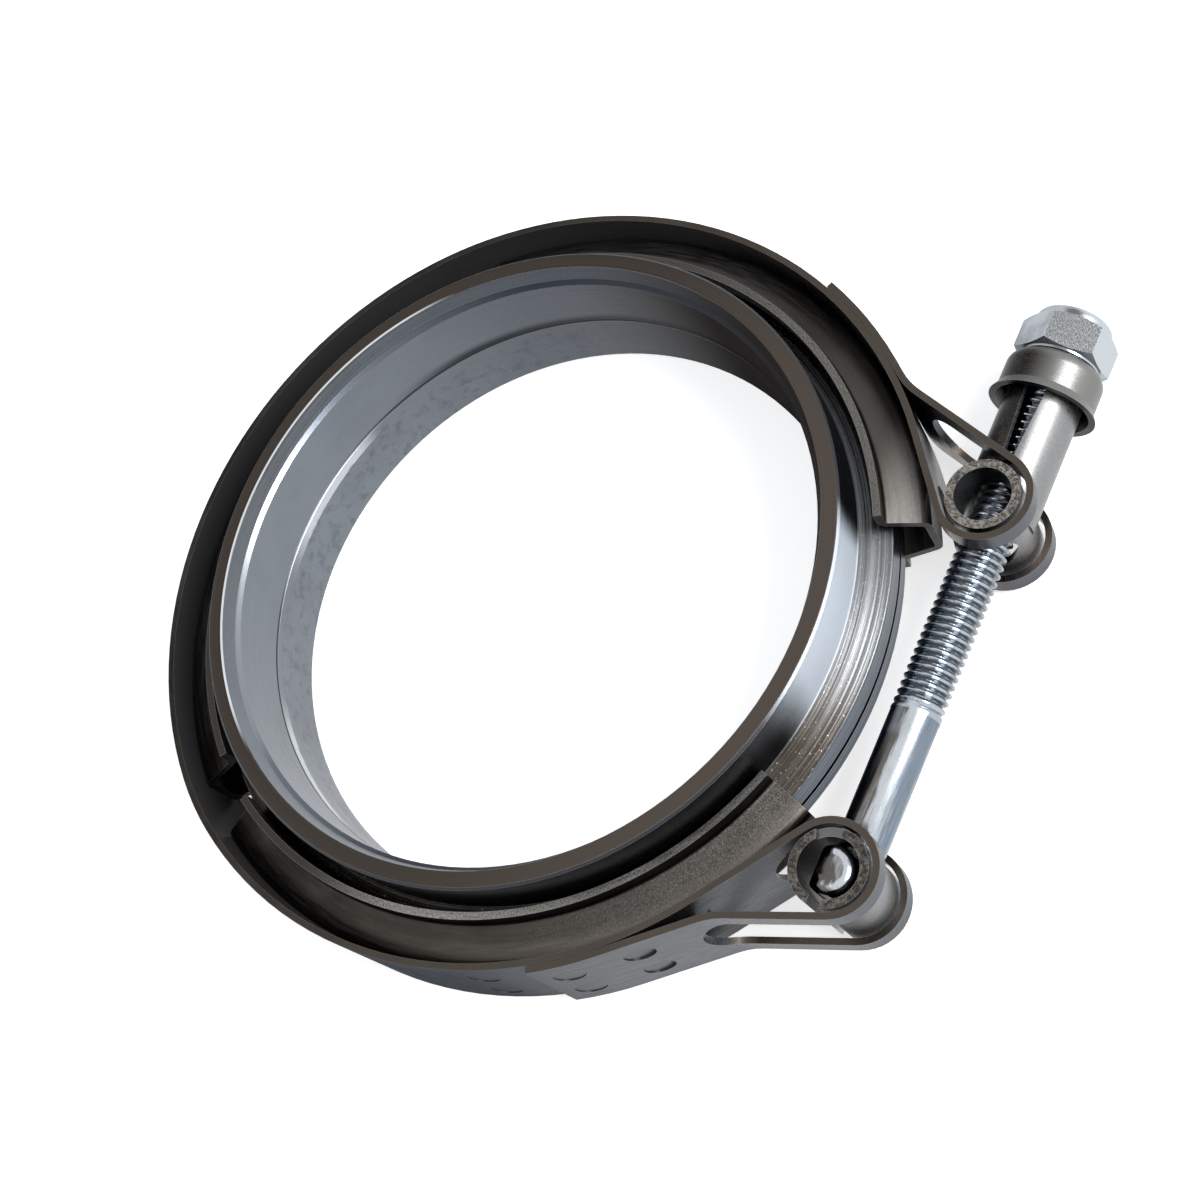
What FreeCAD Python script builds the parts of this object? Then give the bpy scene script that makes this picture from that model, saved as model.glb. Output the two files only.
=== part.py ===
"""V-band clamp with its two weld flanges, in millimetres.

The origin lies on the flanges' common axis, halfway up the V of the clamp.
+Z runs along that axis towards the near flange's open face, and +X points
to the side where the T-bolt closes the band.
"""

import FreeCAD, Part

import math
import os

# Flanges. The far flange has a spigot that centres it in the near flange.
bore_radius = 38.2
flange_wall = 3.25
rim_height = 3.75
rim_half = 2.85
rim_gap = 0.7
rim_gap_drop = 0.15
flank_angle = 23.0
near_height = 12.1
far_height = 8.2
mouth_width = 1.1
mouth_depth = 2.0
mouth_bevel = 0.5
spigot_wall = 2.0
spigot_rise = 0.9
spigot_clearance = 0.15
bore_chamfer = 0.25
edge_chamfer = 0.3

# Roll-formed V retainers: three equal segments inside the strap.
sheet = 0.9
lip_gap = 2.72
lip_height = 2.15
leg_angle = 18.5
leg_run = 4.9
flank_clearance = 0.65
sheet_bend = 0.6
segment_sweep = 98.0
hinge_angle = 9.3
weld_gap = 0.02

# The strap, one strip that is folded back round a loop at each end.
strap_thickness = 0.8
edge_margin = 0.05
lap_gap = 0.06
kink_upper = 0.45
kink_lower = 2.75
band_shift_x = 0.33
band_shift_y = -0.42
middle_angle = 178.6
loop_inner_radius = 4.8
upper_standoff = 1.0
lower_standoff = 1.8
upper_loop_angle = 22.6
lower_loop_angle = -25.6
lap_bend_radius = 9.0
upper_tail_angle = 60.7
upper_leave_angle = 44.5
upper_straight = 2.0
lower_tail_angle = -63.5
lower_leave_angle = -54.0
lower_straight = 12.0
ear_width = 2.55
upper_slot_reach = 9.5
lower_slot_reach = 11.0
inner_slot_reach = 1.5

# Spot welds, seen as shallow round dimples.
weld_radius = 1.9
weld_depth = 0.12
weld_offset = 3.1
weld_inset = 3.6
lap_weld_pitch = 8.5

# T-bolt with its cross bar, and the split sleeve rolled round the bar.
thread_radius = 2.95
shank_radius = 2.88
thread_start = 20.2
bolt_chamfer = 0.7
bolt_tip_sink = 0.4
bar_radius = 2.85
bar_dome = 1.3
bar_recess = 0.4
bar_flat = 0.9
root_flare = 1.3
sleeve_clearance = 0.35
sleeve_wall = 1.0
sleeve_slit = 1.5
sleeve_notch_depth = 0.5
sleeve_notch_width = 2.8
sleeve_notch_angle = 21.0
shank_clearance = 0.4

# Sheet-metal trunnion: a cross tube in the upper loop with a slit barrel.
tube_clearance = 0.55
tube_wall = 1.0
barrel_inner_radius = 3.6
barrel_wall = 0.9
barrel_length = 16.9
slit_foot = 1.0
slit_top = 2.8

# Cup washer over the barrel's end.
cup_wall = 0.8
cup_clearance = 0.5
cup_slack = 2.7
cup_depth = 4.8
rim_flare = 0.6
rim_flare_height = 1.1
cup_shoulder = 1.6
cup_hole_clearance = 0.32

# Hexagon lock nut with a nylon ring under its rounded collar.
nut_seat_gap = 0.05
nut_flats = 10.0
nut_turn = 20.0
nut_hex_height = 4.5
nut_collar_height = 1.5
nut_chamfer_angle = 30.0
nut_washer_face = 0.25
collar_radius = 4.55
collar_round = 0.9
thread_clearance = 0.05
ring_radius = 3.95
ring_height = 1.5
ring_lip = 0.4

Z_AXIS = FreeCAD.Vector(0, 0, 1)
X_AXIS = FreeCAD.Vector(1, 0, 0)
FULL_TURN = 360.0

# Sizes worked out from the driving dimensions.
tube_outer = bore_radius + flange_wall
rim_radius = tube_outer + rim_height
near_rim_foot = -rim_gap_drop
far_rim_top = -rim_gap_drop - rim_gap
flank_rise = rim_height * math.tan(math.radians(flank_angle))

lip_inner = tube_outer + lip_gap
lip_outer = lip_inner + sheet
web_radius = lip_outer + leg_run
leg_drop = leg_run * math.tan(math.radians(leg_angle))
root_half = rim_half + flank_rise + flank_clearance
retainer_half = root_half + lip_height
web_half = root_half - leg_drop

strap_inner = web_radius + weld_gap
strap_mid = strap_inner + strap_thickness / 2
lap_mid = strap_mid + strap_thickness + lap_gap
strap_half = retainer_half - edge_margin
loop_mid = loop_inner_radius + strap_thickness / 2
slot_half = strap_half - ear_width

sleeve_radius = loop_inner_radius - sleeve_clearance
tube_radius = loop_inner_radius - tube_clearance
barrel_radius = barrel_inner_radius + barrel_wall


def direction(degrees):
    """Unit vector in the plane of the band."""
    angle = math.radians(degrees)
    return FreeCAD.Vector(math.cos(angle), math.sin(angle), 0)


def left_of(degrees):
    """Unit vector a quarter turn to the left of a heading."""
    return direction(degrees + 90)


def save(name, shape):
    """Write one sub-part as its own STEP file."""
    shape.exportStep("parts/" + name + ".step")


def face_from(points):
    """Flat face inside a closed polygon."""
    return Part.Face(Part.makePolygon(points + points[:1]))


def turned(profile, axis=Z_AXIS):
    """Body of revolution of a face that touches or clears its axis."""
    return profile.revolve(FreeCAD.Vector(), axis, FULL_TURN)


def turned_polygon(points):
    """Body of revolution about +Z from (radius, height) pairs."""
    return turned(face_from([FreeCAD.Vector(r, 0, z) for r, z in points]))


# The flanges

def near_flange():
    """Female flange: bevelled mouth, tube, tapered rim and centring recess."""
    recess = bore_radius + spigot_wall + spigot_clearance
    mouth_foot = near_height - mouth_depth
    return turned_polygon([
        (bore_radius + mouth_width, near_height),
        (tube_outer - edge_chamfer, near_height),
        (tube_outer, near_height - edge_chamfer),
        (tube_outer, rim_half + flank_rise),
        (rim_radius, rim_half),
        (rim_radius, near_rim_foot),
        (recess, near_rim_foot),
        (recess, spigot_rise),
        (bore_radius + bore_chamfer, spigot_rise),
        (bore_radius, spigot_rise + bore_chamfer),
        (bore_radius, mouth_foot - mouth_bevel),
        (bore_radius + mouth_bevel, mouth_foot),
    ])


def far_flange():
    """Male flange: its spigot seats against the near flange's recess."""
    spigot = bore_radius + spigot_wall
    return turned_polygon([
        (bore_radius, edge_chamfer - far_height),
        (bore_radius, spigot_rise - bore_chamfer),
        (bore_radius + bore_chamfer, spigot_rise),
        (spigot - bore_chamfer, spigot_rise),
        (spigot, spigot_rise - bore_chamfer),
        (spigot, far_rim_top),
        (rim_radius, far_rim_top),
        (rim_radius, -rim_half),
        (tube_outer, -rim_half - flank_rise),
        (tube_outer, edge_chamfer - far_height),
        (tube_outer - edge_chamfer, -far_height),
        (bore_radius + edge_chamfer, -far_height),
    ])


# Strips bent from sheet: a route of circles joined by straight tangents

def tangent_heading(first, second):
    """Heading of the straight that leaves one circle for the next.

    A circle is (centre, radius, sense): sense +1 turns left, -1 turns right.
    """
    gap = second[0] - first[0]
    offset = second[2] * second[1] - first[2] * first[1]
    ratio = max(-1.0, min(1.0, offset / gap.Length))
    bearing = math.degrees(math.atan2(gap.y, gap.x))
    return bearing - math.degrees(math.asin(ratio))


def arc_of(circle, heading_in, heading_out):
    """(centre, radius, sense, first angle, sweep) between two headings."""
    centre, radius, sense = circle
    sweep = (sense * (heading_out - heading_in)) % FULL_TURN
    return centre, radius, sense, heading_in - 90 * sense, sense * sweep


def belt(circles, first_angle, last_angle):
    """Arcs along a chain of circles, from and to given angles on the ends."""
    headings = [tangent_heading(a, b) for a, b in zip(circles, circles[1:])]
    starts = [first_angle + 90 * circles[0][2]] + headings
    ends = headings + [last_angle + 90 * circles[-1][2]]
    return [arc_of(c, a, b) for c, a, b in zip(circles, starts, ends)]


def side_edges(arcs, offset):
    """Edges of a belt's side, offset to the left of the way it runs."""
    edges = []
    last = None
    for centre, radius, sense, start, sweep in arcs:
        side = radius - sense * offset
        turns = [start, start + sweep / 2, start + sweep]
        a, b, c = [centre + direction(t) * side for t in turns]
        if last is not None and (a - last).Length > 1e-6:
            edges.append(Part.LineSegment(last, a).toShape())
        edges.append(Part.Arc(a, b, c).toShape())
        last = c
    return edges


def belt_face(arcs, thickness):
    """Flat face of a strip of even thickness along a belt."""
    left = side_edges(arcs, thickness / 2)
    right = side_edges(arcs, -thickness / 2)
    caps = [
        Part.LineSegment(left[0].firstVertex().Point, right[0].firstVertex().Point),
        Part.LineSegment(left[-1].lastVertex().Point, right[-1].lastVertex().Point),
    ]
    loose = left + right + [cap.toShape() for cap in caps]
    return Part.Face(Part.Wire(Part.__sortEdges__(loose)))


# Where the band lies

def band_centres():
    """Centres of the three segments' circles, and the two hinge circles.

    The strap bends more sharply where it bridges the gap between segments,
    so each outer segment has swung in about the end of the middle one.
    """
    middle = FreeCAD.Vector(band_shift_x, band_shift_y, 0)
    upper_end = middle_angle - segment_sweep / 2
    lower_end = middle_angle + segment_sweep / 2
    upper_turn = hinge_angle + kink_upper
    lower_turn = hinge_angle + kink_lower
    upper_hinge = strap_mid * hinge_angle / upper_turn
    lower_hinge = strap_mid * hinge_angle / lower_turn
    upper_hinge_at = middle + direction(upper_end) * (strap_mid - upper_hinge)
    lower_hinge_at = middle + direction(lower_end) * (strap_mid - lower_hinge)
    upper_start = upper_end - upper_turn
    lower_start = lower_end + lower_turn
    upper = upper_hinge_at - direction(upper_start) * (strap_mid - upper_hinge)
    lower = lower_hinge_at - direction(lower_start) * (strap_mid - lower_hinge)
    return {
        "upper": (upper, upper_start - segment_sweep),
        "middle": (middle, upper_end),
        "lower": (lower, lower_start),
        "hinges": [(upper_hinge_at, upper_hinge, 1), (lower_hinge_at, lower_hinge, 1)],
    }


BAND = band_centres()
UPPER_CENTRE = BAND["upper"][0]
LOWER_CENTRE = BAND["lower"][0]
UPPER_PIN = UPPER_CENTRE + direction(upper_loop_angle) * (
    strap_mid + loop_mid + upper_standoff)
LOWER_PIN = LOWER_CENTRE + direction(lower_loop_angle) * (
    strap_mid + loop_mid + lower_standoff)
BOLT_LINE = UPPER_PIN - LOWER_PIN
BOLT_SPAN = BOLT_LINE.Length
BOLT_ANGLE = math.degrees(math.atan2(BOLT_LINE.y, BOLT_LINE.x))

# Places along the bolt, from the middle of its cross bar
CUP_TOP = BOLT_SPAN + barrel_length + cup_slack + cup_wall
NUT_FOOT = CUP_TOP + nut_seat_gap
NUT_HEX_TOP = NUT_FOOT + nut_hex_height
NUT_TOP = NUT_HEX_TOP + nut_collar_height
BOLT_TIP = NUT_TOP - bolt_tip_sink


def on_bolt(shape):
    """Move a shape from the bolt's frame: X along the bolt, origin in its bar."""
    shape.rotate(FreeCAD.Vector(), Z_AXIS, BOLT_ANGLE)
    shape.translate(LOWER_PIN)
    return shape


# The V retainers

def retainer_side(points, radii):
    """Edges through points, with each corner rounded to its own radius."""
    edges = []
    last = points[0]
    for before, corner, after, radius in zip(points, points[1:], points[2:], radii):
        back = (before - corner).normalize()
        ahead = (after - corner).normalize()
        half = back.getAngle(ahead) / 2
        reach = radius / math.tan(half)
        bisector = (back + ahead).normalize()
        middle = corner + bisector * (radius / math.sin(half) - radius)
        start = corner + back * reach
        end = corner + ahead * reach
        edges.append(Part.LineSegment(last, start).toShape())
        edges.append(Part.Arc(start, middle, end).toShape())
        last = end
    edges.append(Part.LineSegment(last, points[-1]).toShape())
    return edges


def retainer_section():
    """Cross-section: web, two sloping legs and the lips turned up from them."""
    slope = math.radians(leg_angle)
    root_shift = sheet * math.tan((math.pi / 2 - slope) / 2)
    web_shift = sheet * (1 - math.sin(slope)) / math.cos(slope)
    outer = [(lip_outer, retainer_half), (lip_outer, root_half), (web_radius, web_half)]
    inner = [
        (lip_inner, retainer_half),
        (lip_inner, root_half - root_shift),
        (web_radius - sheet, web_half - web_shift),
    ]
    sides = []
    for half, root_round, web_round in (
        (outer, sheet_bend, sheet_bend + sheet),
        (inner, sheet_bend + sheet, sheet_bend),
    ):
        full = half + [(r, -z) for r, z in reversed(half)]
        points = [FreeCAD.Vector(r, 0, z) for r, z in full]
        rounds = [root_round, web_round, web_round, root_round]
        sides.append(retainer_side(points, rounds))
    caps = [
        Part.makeLine(side_a, side_b)
        for side_a, side_b in (
            (sides[0][0].firstVertex().Point, sides[1][0].firstVertex().Point),
            (sides[0][-1].lastVertex().Point, sides[1][-1].lastVertex().Point),
        )
    ]
    return Part.Face(Part.Wire(Part.__sortEdges__(sides[0] + sides[1] + caps)))


def retainer(which):
    """One roll-formed segment, swept about its own centre."""
    centre, start = BAND[which]
    segment = retainer_section().revolve(FreeCAD.Vector(), Z_AXIS, segment_sweep)
    segment.rotate(FreeCAD.Vector(), Z_AXIS, start)
    segment.translate(centre)
    return segment


# The strap

def lap_bend(centre, leave_angle, straight, way):
    """Circle of the bend where a folded end lifts off the band.

    way is +1 for the upper end, where the route runs towards the loop,
    and -1 for the lower end, where it comes back from the loop.
    """
    heading = leave_angle - 90
    lift = centre + direction(leave_angle) * lap_mid
    turn = lift + direction(heading) * (straight * way)
    return turn + left_of(heading) * lap_bend_radius, lap_bend_radius, 1


def strap_route():
    """The whole strip as one belt, from the upper tail to the lower tail."""
    upper_bend = lap_bend(UPPER_CENTRE, upper_leave_angle, upper_straight, 1)
    lower_bend = lap_bend(LOWER_CENTRE, lower_leave_angle, lower_straight, -1)
    upper_hinge, lower_hinge = BAND["hinges"]
    circles = [
        (UPPER_CENTRE, lap_mid, -1),
        upper_bend,
        (UPPER_PIN, loop_mid, -1),
        (UPPER_CENTRE, strap_mid, 1),
        upper_hinge,
        (BAND["middle"][0], strap_mid, 1),
        lower_hinge,
        (LOWER_CENTRE, strap_mid, 1),
        (LOWER_PIN, loop_mid, -1),
        lower_bend,
        (LOWER_CENTRE, lap_mid, -1),
    ]
    return circles, belt(circles, upper_tail_angle, lower_tail_angle)


def slot_arm(foot, heading, reach):
    """Straight arm of a slot with a round end, cut square through the strip."""
    thickness = 4 * strap_thickness
    arm = Part.makeBox(reach, thickness, 2 * slot_half,
                       FreeCAD.Vector(0, -thickness / 2, -slot_half))
    end = Part.makeCylinder(slot_half, thickness,
                            FreeCAD.Vector(reach, -thickness / 2, 0),
                            FreeCAD.Vector(0, 1, 0))
    tool = arm.fuse(end)
    tool.rotate(FreeCAD.Vector(), Z_AXIS, heading)
    tool.translate(foot)
    return tool


def loop_slot(pin, circles, outer_index, inner_index, outer_reach):
    """Slot through a loop and its two straights, which leaves a pair of ears."""
    tool = Part.makeCylinder(loop_mid + strap_thickness, 2 * slot_half,
                             pin - Z_AXIS * slot_half)
    for index, reach in ((outer_index, outer_reach), (inner_index, inner_slot_reach)):
        loop_last = circles[index + 1][0].isEqual(pin, 1e-9)
        heading = tangent_heading(circles[index], circles[index + 1])
        foot = pin + left_of(heading) * loop_mid
        tool = tool.fuse(slot_arm(foot, heading + 180 if loop_last else heading, reach))
    return tool


def lap_welds(centre, tail_angle, way):
    """Dimples and joined metal where a tail is spot-welded to the band."""
    dimples = []
    joins = []
    first = math.degrees(weld_inset / lap_mid)
    pitch = math.degrees(lap_weld_pitch / lap_mid)
    for row in range(2):
        ray = direction(tail_angle - way * (first + row * pitch))
        for side in (-1, 1):
            at = centre + Z_AXIS * (side * weld_offset)
            outside = lap_mid + strap_thickness / 2 - weld_depth
            dimples.append(Part.makeCylinder(weld_radius, strap_thickness,
                                             at + ray * outside, ray))
            joins.append(Part.makeCylinder(weld_radius, strap_thickness + lap_gap,
                                           at + ray * strap_mid, ray))
    return dimples, joins


def segment_welds(which, lowest, highest):
    """Dimples in the strap over a segment, clear of the folded ends."""
    centre, start = BAND[which]
    inset = math.degrees(2 * weld_inset / strap_mid)
    outside = strap_mid + strap_thickness / 2 - weld_depth
    dimples = []
    for turn in (start + inset, start + segment_sweep / 2, start + segment_sweep - inset):
        if lowest < turn < highest:
            ray = direction(turn)
            for side in (-1, 1):
                at = centre + Z_AXIS * (side * weld_offset) + ray * outside
                dimples.append(Part.makeCylinder(weld_radius, strap_thickness, at, ray))
    return dimples


def band_strap():
    """One strip: both ends folded out round a loop, slotted and welded back."""
    circles, arcs = strap_route()
    strip = belt_face(arcs, strap_thickness)
    strip.translate(Z_AXIS * -strap_half)
    band = strip.extrude(Z_AXIS * (2 * strap_half))
    band = band.cut(loop_slot(UPPER_PIN, circles, 1, 2, upper_slot_reach))
    band = band.cut(loop_slot(LOWER_PIN, circles, 8, 7, lower_slot_reach))
    upper_dimples, upper_joins = lap_welds(UPPER_CENTRE, upper_tail_angle, 1)
    lower_dimples, lower_joins = lap_welds(LOWER_CENTRE, lower_tail_angle, -1)
    band = band.fuse(upper_joins + lower_joins)
    lowest = upper_tail_angle + weld_inset
    highest = lower_tail_angle + FULL_TURN - weld_inset
    dimples = upper_dimples + lower_dimples
    for which in ("upper", "middle", "lower"):
        dimples += segment_welds(which, lowest, highest)
    return band.cut(dimples)


# The T-bolt

def t_bolt():
    """Cross bar with domed ends, plain shank and threaded end."""
    bar_half = strap_half - bar_recess
    bar = Part.makeCylinder(bar_radius, 2 * bar_half, Z_AXIS * -bar_half)
    rims = [edge for edge in bar.Edges if edge.isClosed()]
    bar = bar.makeFillet(bar_dome, rims)
    flat = Part.makeBox(2 * bar_radius, bar_flat, 2 * strap_half,
                        FreeCAD.Vector(-bar_radius, bar_radius - bar_flat, -strap_half))
    shank = face_from([
        FreeCAD.Vector(bar_radius / 2, 0, 0),
        FreeCAD.Vector(bar_radius / 2, shank_radius - root_flare, 0),
        FreeCAD.Vector(bar_radius + root_flare, shank_radius, 0),
        FreeCAD.Vector(thread_start - bolt_chamfer, shank_radius, 0),
        FreeCAD.Vector(thread_start, thread_radius, 0),
        FreeCAD.Vector(BOLT_TIP - bolt_chamfer, thread_radius, 0),
        FreeCAD.Vector(BOLT_TIP, thread_radius - bolt_chamfer, 0),
        FreeCAD.Vector(BOLT_TIP, 0, 0),
    ])
    return on_bolt(bar.cut(flat).fuse(turned(shank, X_AXIS)).removeSplitter())


def bar_sleeve():
    """Rolled sleeve round the cross bar, split opposite the shank."""
    inner = sleeve_radius - sleeve_wall
    sleeve = Part.makeCylinder(sleeve_radius, 2 * strap_half, Z_AXIS * -strap_half)
    sleeve = sleeve.cut(Part.makeCylinder(inner, 2 * strap_half, Z_AXIS * -strap_half))
    slit = Part.makeBox(2 * sleeve_radius, sleeve_slit, 2 * strap_half,
                        FreeCAD.Vector(-2 * sleeve_radius, -sleeve_slit / 2, -strap_half))
    hole = Part.makeCylinder(shank_radius + shank_clearance, 2 * sleeve_radius,
                             FreeCAD.Vector(), X_AXIS)
    notch = Part.makeBox(2 * sleeve_radius, sleeve_notch_width, sleeve_notch_depth,
                         FreeCAD.Vector(0, -sleeve_notch_width / 2,
                                        strap_half - sleeve_notch_depth))
    notch.rotate(FreeCAD.Vector(), Z_AXIS, sleeve_notch_angle)
    return on_bolt(sleeve.cut([slit, hole, notch]))


# The trunnion

def trunnion():
    """Cross tube and slit barrel, folded from one sheet."""
    pin = FreeCAD.Vector(BOLT_SPAN, 0, 0)
    tube = Part.makeCylinder(tube_radius, 2 * strap_half, pin - Z_AXIS * strap_half)
    barrel = Part.makeCylinder(barrel_radius, barrel_length, pin, X_AXIS)
    bore = Part.makeCylinder(tube_radius - tube_wall, 2 * strap_half,
                             pin - Z_AXIS * strap_half)
    passage = Part.makeCylinder(barrel_inner_radius, barrel_length + 2 * barrel_radius,
                                pin - X_AXIS * 2 * barrel_radius, X_AXIS)
    foot = BOLT_SPAN + tube_radius
    top = BOLT_SPAN + barrel_length
    slit = face_from([
        FreeCAD.Vector(foot, -slit_foot / 2, 0),
        FreeCAD.Vector(top, -slit_top / 2, 0),
        FreeCAD.Vector(top, slit_top / 2, 0),
        FreeCAD.Vector(foot, slit_foot / 2, 0),
    ]).extrude(Z_AXIS * 2 * barrel_radius)
    return on_bolt(tube.fuse(barrel).cut([bore, passage, slit]))


# Cup washer, lock nut and nylon ring, all turned about the bolt

def cup_washer():
    """Domed cup with a flared rim that drops over the barrel."""
    inner = barrel_radius + cup_clearance
    outer = inner + cup_wall
    hole = thread_radius + cup_hole_clearance
    under = CUP_TOP - cup_wall
    rim = CUP_TOP - cup_wall - cup_depth
    flare_top = rim + rim_flare_height
    points = [
        (under, hole),
        (under, inner - cup_shoulder + cup_wall),
        (under - cup_shoulder + cup_wall, inner),
        (flare_top, inner),
        (rim, inner + rim_flare),
        (rim, outer + rim_flare),
        (flare_top, outer),
        (CUP_TOP - cup_shoulder, outer),
        (CUP_TOP - cup_shoulder * (1 - math.sqrt(0.5)),
         outer - cup_shoulder * (1 - math.sqrt(0.5))),
        (CUP_TOP, outer - cup_shoulder),
        (CUP_TOP, hole),
    ]
    vectors = [FreeCAD.Vector(x, r, 0) for x, r in points]
    edges = [Part.makeLine(a, b) for a, b in zip(vectors[:8], vectors[1:8])]
    edges.append(Part.Arc(*vectors[7:10]).toShape())
    edges += [Part.makeLine(a, b) for a, b in ((vectors[9], vectors[10]),
                                               (vectors[10], vectors[0]))]
    return on_bolt(turned(Part.Face(Part.Wire(edges)), X_AXIS))


def lock_nut():
    """Hexagon with chamfered corners, a washer face and a rounded collar."""
    corner = nut_flats / math.sqrt(3)
    hexagon = face_from([
        FreeCAD.Vector(NUT_FOOT, corner * math.cos(math.radians(nut_turn + 60 * k)),
                       corner * math.sin(math.radians(nut_turn + 60 * k)))
        for k in range(6)
    ]).extrude(X_AXIS * nut_hex_height)
    chamfer = (corner - nut_flats / 2) * math.tan(math.radians(nut_chamfer_angle))
    turning = turned(face_from([
        FreeCAD.Vector(NUT_FOOT, 0, 0),
        FreeCAD.Vector(NUT_FOOT, nut_flats / 2 - nut_washer_face, 0),
        FreeCAD.Vector(NUT_FOOT + nut_washer_face, nut_flats / 2 - nut_washer_face, 0),
        FreeCAD.Vector(NUT_FOOT + nut_washer_face + chamfer, corner, 0),
        FreeCAD.Vector(NUT_HEX_TOP - chamfer, corner, 0),
        FreeCAD.Vector(NUT_HEX_TOP, nut_flats / 2, 0),
        FreeCAD.Vector(NUT_HEX_TOP, 0, 0),
    ]), X_AXIS)
    blank = hexagon.common(turning)
    crown = NUT_TOP - collar_round
    bevel = collar_radius - collar_round * (1 - math.sqrt(0.5))
    points = [
        FreeCAD.Vector(NUT_HEX_TOP - nut_washer_face, 0, 0),
        FreeCAD.Vector(NUT_HEX_TOP - nut_washer_face, collar_radius, 0),
        FreeCAD.Vector(crown, collar_radius, 0),
        FreeCAD.Vector(crown + collar_round * math.sqrt(0.5), bevel, 0),
        FreeCAD.Vector(NUT_TOP, collar_radius - collar_round, 0),
        FreeCAD.Vector(NUT_TOP, 0, 0),
    ]
    edges = [
        Part.makeLine(points[0], points[1]),
        Part.makeLine(points[1], points[2]),
        Part.Arc(points[2], points[3], points[4]).toShape(),
        Part.makeLine(points[4], points[5]),
        Part.makeLine(points[5], points[0]),
    ]
    collar = turned(Part.Face(Part.Wire(edges)), X_AXIS)
    bore = Part.makeCylinder(thread_radius + thread_clearance, NUT_TOP,
                             FreeCAD.Vector(), X_AXIS)
    seat = Part.makeCylinder(ring_radius, ring_height,
                             X_AXIS * (NUT_TOP - ring_lip - ring_height), X_AXIS)
    mouth = Part.makeCylinder(collar_radius - collar_round, ring_lip + ring_height,
                              X_AXIS * (NUT_TOP - ring_lip), X_AXIS)
    return on_bolt(blank.fuse(collar).cut([bore, seat, mouth]))


def nylon_ring():
    """Locking ring that fills the seat under the collar."""
    start = X_AXIS * (NUT_TOP - ring_lip - ring_height)
    ring = Part.makeCylinder(ring_radius, ring_height, start, X_AXIS)
    bore = Part.makeCylinder(thread_radius + thread_clearance, ring_height, start, X_AXIS)
    return on_bolt(ring.cut(bore))


def main():
    """Build every sub-part and write it out."""
    os.makedirs("parts", exist_ok=True)
    save("near_flange", near_flange())
    save("far_flange", far_flange())
    save("band_strap", band_strap())
    save("upper_retainer", retainer("upper"))
    save("middle_retainer", retainer("middle"))
    save("lower_retainer", retainer("lower"))
    save("t_bolt", t_bolt())
    save("bar_sleeve", bar_sleeve())
    save("trunnion", trunnion())
    save("cup_washer", cup_washer())
    save("lock_nut", lock_nut())
    save("nylon_ring", nylon_ring())


main()
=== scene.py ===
"""Looks for the V-band clamp: materials, the bolt's thread, light and camera.

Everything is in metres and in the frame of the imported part. Lengths named
here in millimetres are turned into metres by MM.
"""

import math

import bmesh
import bpy
from mathutils import Euler, Matrix, Vector


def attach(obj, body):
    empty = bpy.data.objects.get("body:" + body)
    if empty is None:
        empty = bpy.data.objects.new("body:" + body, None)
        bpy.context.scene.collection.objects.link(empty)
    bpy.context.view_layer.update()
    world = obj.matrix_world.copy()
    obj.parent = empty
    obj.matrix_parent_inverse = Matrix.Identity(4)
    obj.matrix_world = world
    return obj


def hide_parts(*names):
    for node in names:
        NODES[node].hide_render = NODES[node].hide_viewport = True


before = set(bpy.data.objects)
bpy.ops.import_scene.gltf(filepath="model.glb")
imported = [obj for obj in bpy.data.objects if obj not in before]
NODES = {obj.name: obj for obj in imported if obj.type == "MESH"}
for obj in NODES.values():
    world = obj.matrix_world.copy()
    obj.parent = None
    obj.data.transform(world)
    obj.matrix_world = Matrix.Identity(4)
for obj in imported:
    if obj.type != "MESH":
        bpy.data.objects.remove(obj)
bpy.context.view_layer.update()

MM = 0.001

# The camera, found from the photograph's ellipses.
CAMERA_AT = (116.056 * MM, -53.407 * MM, 185.738 * MM)
CAMERA_TURN = (24.693, 22.6512, 23.5493)
CAMERA_LENS = 54.0
CAMERA_SENSOR = 36.0

# The bolt's frame: from the middle of its cross bar towards its nut.
BAR_AT = Vector((50.1425, -23.7857, 0.0)) * MM
BOLT_TURN = 87.3124

# Thread, shank and cross bar of the T-bolt, in millimetres. The plain shank stops
# SHANK_END_GAP before the thread, which is painted darker inside ROOT_SHADE_RADIUS.
THREAD_RADIUS = 2.95
THREAD_DEPTH = 0.56
THREAD_PITCH = 1.0
THREAD_START = 20.2
SHANK_RADIUS = 2.88
BOLT_LENGTH = 70.987
BOLT_CHAMFER = 0.7
ROOT_FOOT = 1.43
ROOT_TOP = 4.15
ROOT_RADIUS = 1.58
BAR_HALF = 6.79
BAR_RADIUS = 2.85
BAR_DOME = 1.3
BAR_FLAT = 0.9
BAR_FACET = 0.5
SHANK_END_GAP = 0.3
ROOT_SHADE_RADIUS = 2.72

# How much of a pitch the thread's root and its two flanks take, and the number of
# turns in which the thread reaches its full depth.
ROOT_SHARE = 0.12
FLANK_SHARE = 0.70
RUN_IN_TURNS = 2.0

# Points round the bolt, and steps along one pitch and over a dome. Edges that turn by
# more than SMOOTH_TURN degrees are shown sharp.
AROUND = 48
STEPS_PER_PITCH = 8
DOME_STEPS = 6
SMOOTH_TURN = 32

# Where the nut's hexagon ends along the bolt, in millimetres.
NUT_HEX_TOP = 69.9

# Heights, and radii from the flanges' axis, in metres.
FLOOR_Z = -8.2 * MM
NEAR_FACE_Z = 12.1 * MM
MOUTH_FOOT = 10.1 * MM
MOUTH_RADIUS = 39.3 * MM
SEAM_Z = 0.9 * MM
BORE_SPECKS_TOP = -0.4 * MM
LIP_Z = 7.2 * MM
CUT_END = 7.1 * MM
TUBE_RADIUS = 41.45 * MM

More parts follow.
